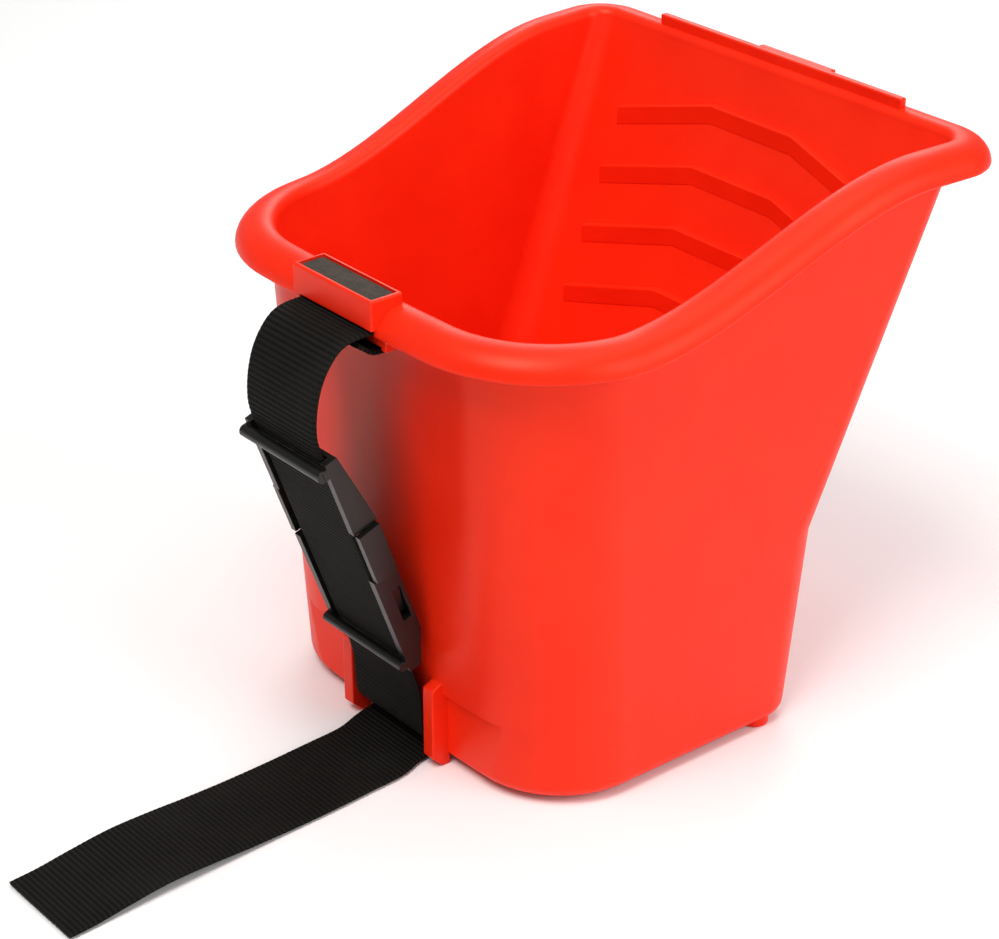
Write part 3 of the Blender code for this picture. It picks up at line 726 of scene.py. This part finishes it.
def webbing_route():
    """Centreline of the whole webbing, from its sewn end to its free end."""
    z, radius = TOP_BAR[1:]
    wrap = radius + GAP + WEB_THICKNESS / 2
    sewn = flat(
        [
            (-0.0912, 0.1411),
            (-0.0888, 0.1394),
            (-0.0860, 0.1376),
        ]
    )
    upper = flat(
        [
            (-0.0880, z + wrap - 0.0001),
            (-0.0932, 0.1434),
            (-0.0972, 0.1421),
            (-0.1005, 0.1391),
            (-0.1031, 0.1352),
            (-0.1049, 0.1308),
            (-0.1061, 0.1250),
            (-0.1063, 0.1185),
            (-0.1050, 0.1130),
            BUCKLE_TOP,
        ]
    )
    middle = Vector(BUCKLE_TOP).lerp(Vector(BUCKLE_BOTTOM), 0.5)
    foot_z, foot_radius = FOOT_BAR[1:]
    foot_wrap = foot_radius + GAP + WEB_THICKNESS / 2
    lower = flat(
        [
            tuple(middle),
            BUCKLE_BOTTOM,
            (-0.0747, 0.0302),
            (-0.0728, 0.0230),
            (-0.0723, 0.0160),
            (-0.0718, 0.0108),
            (-0.0702, foot_z + foot_wrap + 0.0010),
            (-0.0675, foot_z + foot_wrap),
        ]
    )
    tail = [
        (0.0, -0.0685, TAIL_Z + 0.0004),
        (0.0010, TAIL_START_Y, TAIL_Z),
        (0.0034, -0.0820, TAIL_Z),
        (0.0040, -0.0940, TAIL_Z),
        (0.0046, -0.1080, TAIL_Z),
        (0.0049, -0.1230, TAIL_Z + 0.0001),
        (0.0053, -0.1380, TAIL_Z + 0.0007),
        (0.0058, -0.1520, TAIL_Z + 0.0017),
        (0.0062, -0.1650, TAIL_Z + 0.0021),
        (0.0066, -0.1780, TAIL_Z + 0.0012),
        (0.0070, -0.1890, TAIL_Z + 0.0002),
        (0.0073, -0.1978, TAIL_Z),
    ]
    rounds = arc(TOP_BAR, -90, 90, WRAP_STEPS), arc(FOOT_BAR, 90, -90, WRAP_STEPS)
    return curve_through(sewn + rounds[0] + upper + lower + rounds[1] + tail, CURVE_STEPS)


def even_stations(points, spacing):
    """The same line with evenly spaced points, and its length."""
    line = np.array([tuple(point) for point in points])
    run = np.concatenate([[0.0], np.cumsum(np.linalg.norm(np.diff(line, axis=0), axis=1))])
    count = int(round(run[-1] / spacing))
    at = np.linspace(0.0, run[-1], count + 1)
    return np.array([np.interp(at, run, line[:, axis]) for axis in range(3)]).T, at, run[-1]


def tightness(point):
    """How far the weave is pulled smooth: most between the buckle's bars and down to the foot."""
    y, z = point[1:]
    if y < TAIL_START_Y and z < TAIL_CEILING_Z:
        return 0.0
    growth = min(max((BUCKLE_TOP[1] - z) / TIGHT_BELOW_BUCKLE_TOP, 0.0), 1.0)
    fade = min(max(z / TIGHT_ABOVE_FOOT, 0.0), 1.0)
    return TIGHT_SHARE * growth * fade


def build_webbing():
    """One length of ribbed webbing: rounded edges, and a rib across it at each pick of the weave."""
    line, run, length = even_stations(webbing_route(), RIB_PITCH / RIB_STEPS)
    along = np.gradient(line, axis=0)
    along[:, 0] = 0.0
    along /= np.linalg.norm(along, axis=1)[:, None]
    out = np.stack([np.zeros(len(line)), -along[:, 2], along[:, 1]], axis=1)
    half = WEB_WIDTH / 2
    columns = [-share for share in SELVEDGE_COLUMNS]
    columns += list(np.linspace(-INNER_COLUMN, INNER_COLUMN, INNER_COLUMNS))
    columns += reversed(SELVEDGE_COLUMNS)
    shape = bmesh.new()
    layer = shape.loops.layers.uv.new("webbing")
    relief = shape.verts.layers.float.new("relief")
    rings = []
    for index in range(len(line)):
        rib = 0.5 + 0.5 * cos(2 * pi * run[index] / RIB_PITCH)
        pull = tightness(line[index])
        sealed = min(1.0, (length - run[index]) / SEALED_LENGTH)
        ring = []
        for face in (1.0, -1.0):
            for share in columns if face > 0 else reversed(columns):
                x = share * half
                inset = max(0.0, abs(x) - (half - SELVEDGE)) / SELVEDGE
                thick = WEB_THICKNESS / 2 * (1.0 - SELVEDGE_THINNING * inset**SELVEDGE_POWER)
                ribbing = RIB_DEPTH_SHARE * (1.0 - rib) * (1.0 - SELVEDGE_RIB_SHARE * inset) * (1.0 - pull)
                thick *= 1.0 - ribbing
                thick *= SEALED_THICKNESS + (1.0 - SEALED_THICKNESS) * sealed
                point = Vector(line[index]) + Vector((x, 0, 0)) + Vector(out[index]) * face * thick
                vert = shape.verts.new(point)
                vert[relief] = 1.0 - pull
                ring.append((vert, x / WARP_PITCH, run[index] / RIB_PITCH))
        rings.append(ring)
    for lower, upper in zip(rings, rings[1:]):
        for i in range(len(lower)):
            j = (i + 1) % len(lower)
            corners = (lower[i], lower[j], upper[j], upper[i])
            face = shape.faces.new([corner[0] for corner in corners])
            face.smooth = True
            for loop, corner in zip(face.loops, corners):
                loop[layer].uv = corner[1:]
    for ring, flip in ((rings[0], True), (rings[-1], False)):
        verts = [entry[0] for entry in ring]
        shape.faces.new(verts if flip else reversed(verts))
    bmesh.ops.recalc_face_normals(shape, faces=shape.faces)
    mesh = bpy.data.meshes.new("webbing")
    shape.to_mesh(mesh)
    shape.free()
    piece = link(bpy.data.objects.new("webbing", mesh))
    mesh.materials.append(WEB)
    return piece, length


strap, strap_length = build_webbing()
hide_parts("strap", "strap_tail")
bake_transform(strap)


# Studio


MIDDLE = Vector((0.0, 0.0, 0.08))
WHITE = (1.0, 1.0, 1.0)
WARM_WHITE = (1.0, 0.985, 0.96)
WORLD_STRENGTH = 0.26
FLOOR_HALF = 4.0


def area_light(name, place, side, power, colour=WHITE):
    """A square light that faces the middle of the pail."""
    data = bpy.data.lights.new(name, "AREA")
    data.shape = "RECTANGLE"
    data.size, data.size_y = side, side
    data.energy = power
    data.color = colour
    light = link(bpy.data.objects.new(name, data))
    back = (Vector(place) - MIDDLE).normalized()
    light.matrix_world = Matrix.Translation(place) @ back.to_track_quat("Z", "Y").to_matrix().to_4x4()


area_light("right_box", (1.20, 0.35, 0.75), side=0.9, power=9.0)
area_light("top_box", (0.10, 0.30, 1.30), side=0.8, power=3.0)
area_light("back_box", (-0.75, 0.75, 0.80), side=0.7, power=5.0)
area_light("front_box", (0.20, -0.60, 1.26), side=0.7, power=13.0, colour=WARM_WHITE)

world = bpy.data.worlds.new("studio")
scene.world = world
world.use_nodes = True
sky = world.node_tree.nodes["Background"]
sky.inputs["Color"].default_value = (*WHITE, 1.0)
sky.inputs["Strength"].default_value = WORLD_STRENGTH

floor_mesh = bpy.data.meshes.new("floor")
corners = [(x * FLOOR_HALF, y * FLOOR_HALF, 0.0) for x, y in ((-1, -1), (1, -1), (1, 1), (-1, 1))]
floor_mesh.from_pydata(corners, [], [(0, 1, 2, 3)])
floor = link(bpy.data.objects.new("floor", floor_mesh))
paint(floor, floor_paper())

turn, tilt = radians(AZIMUTH), radians(ELEVATION)
back = Vector((sin(turn) * cos(tilt), -cos(turn) * cos(tilt), sin(tilt)))
right = Vector((cos(turn), sin(turn), 0.0))
camera_data = bpy.data.cameras.new("camera")
camera_data.lens = LENS
camera_data.sensor_width = SENSOR_WIDTH
camera = link(bpy.data.objects.new("camera", camera_data))
axes = Matrix((right, back.cross(right), back)).transposed().to_4x4()
camera.matrix_world = Matrix.Translation(Vector(TARGET) + back * DISTANCE) @ axes
scene.camera = camera
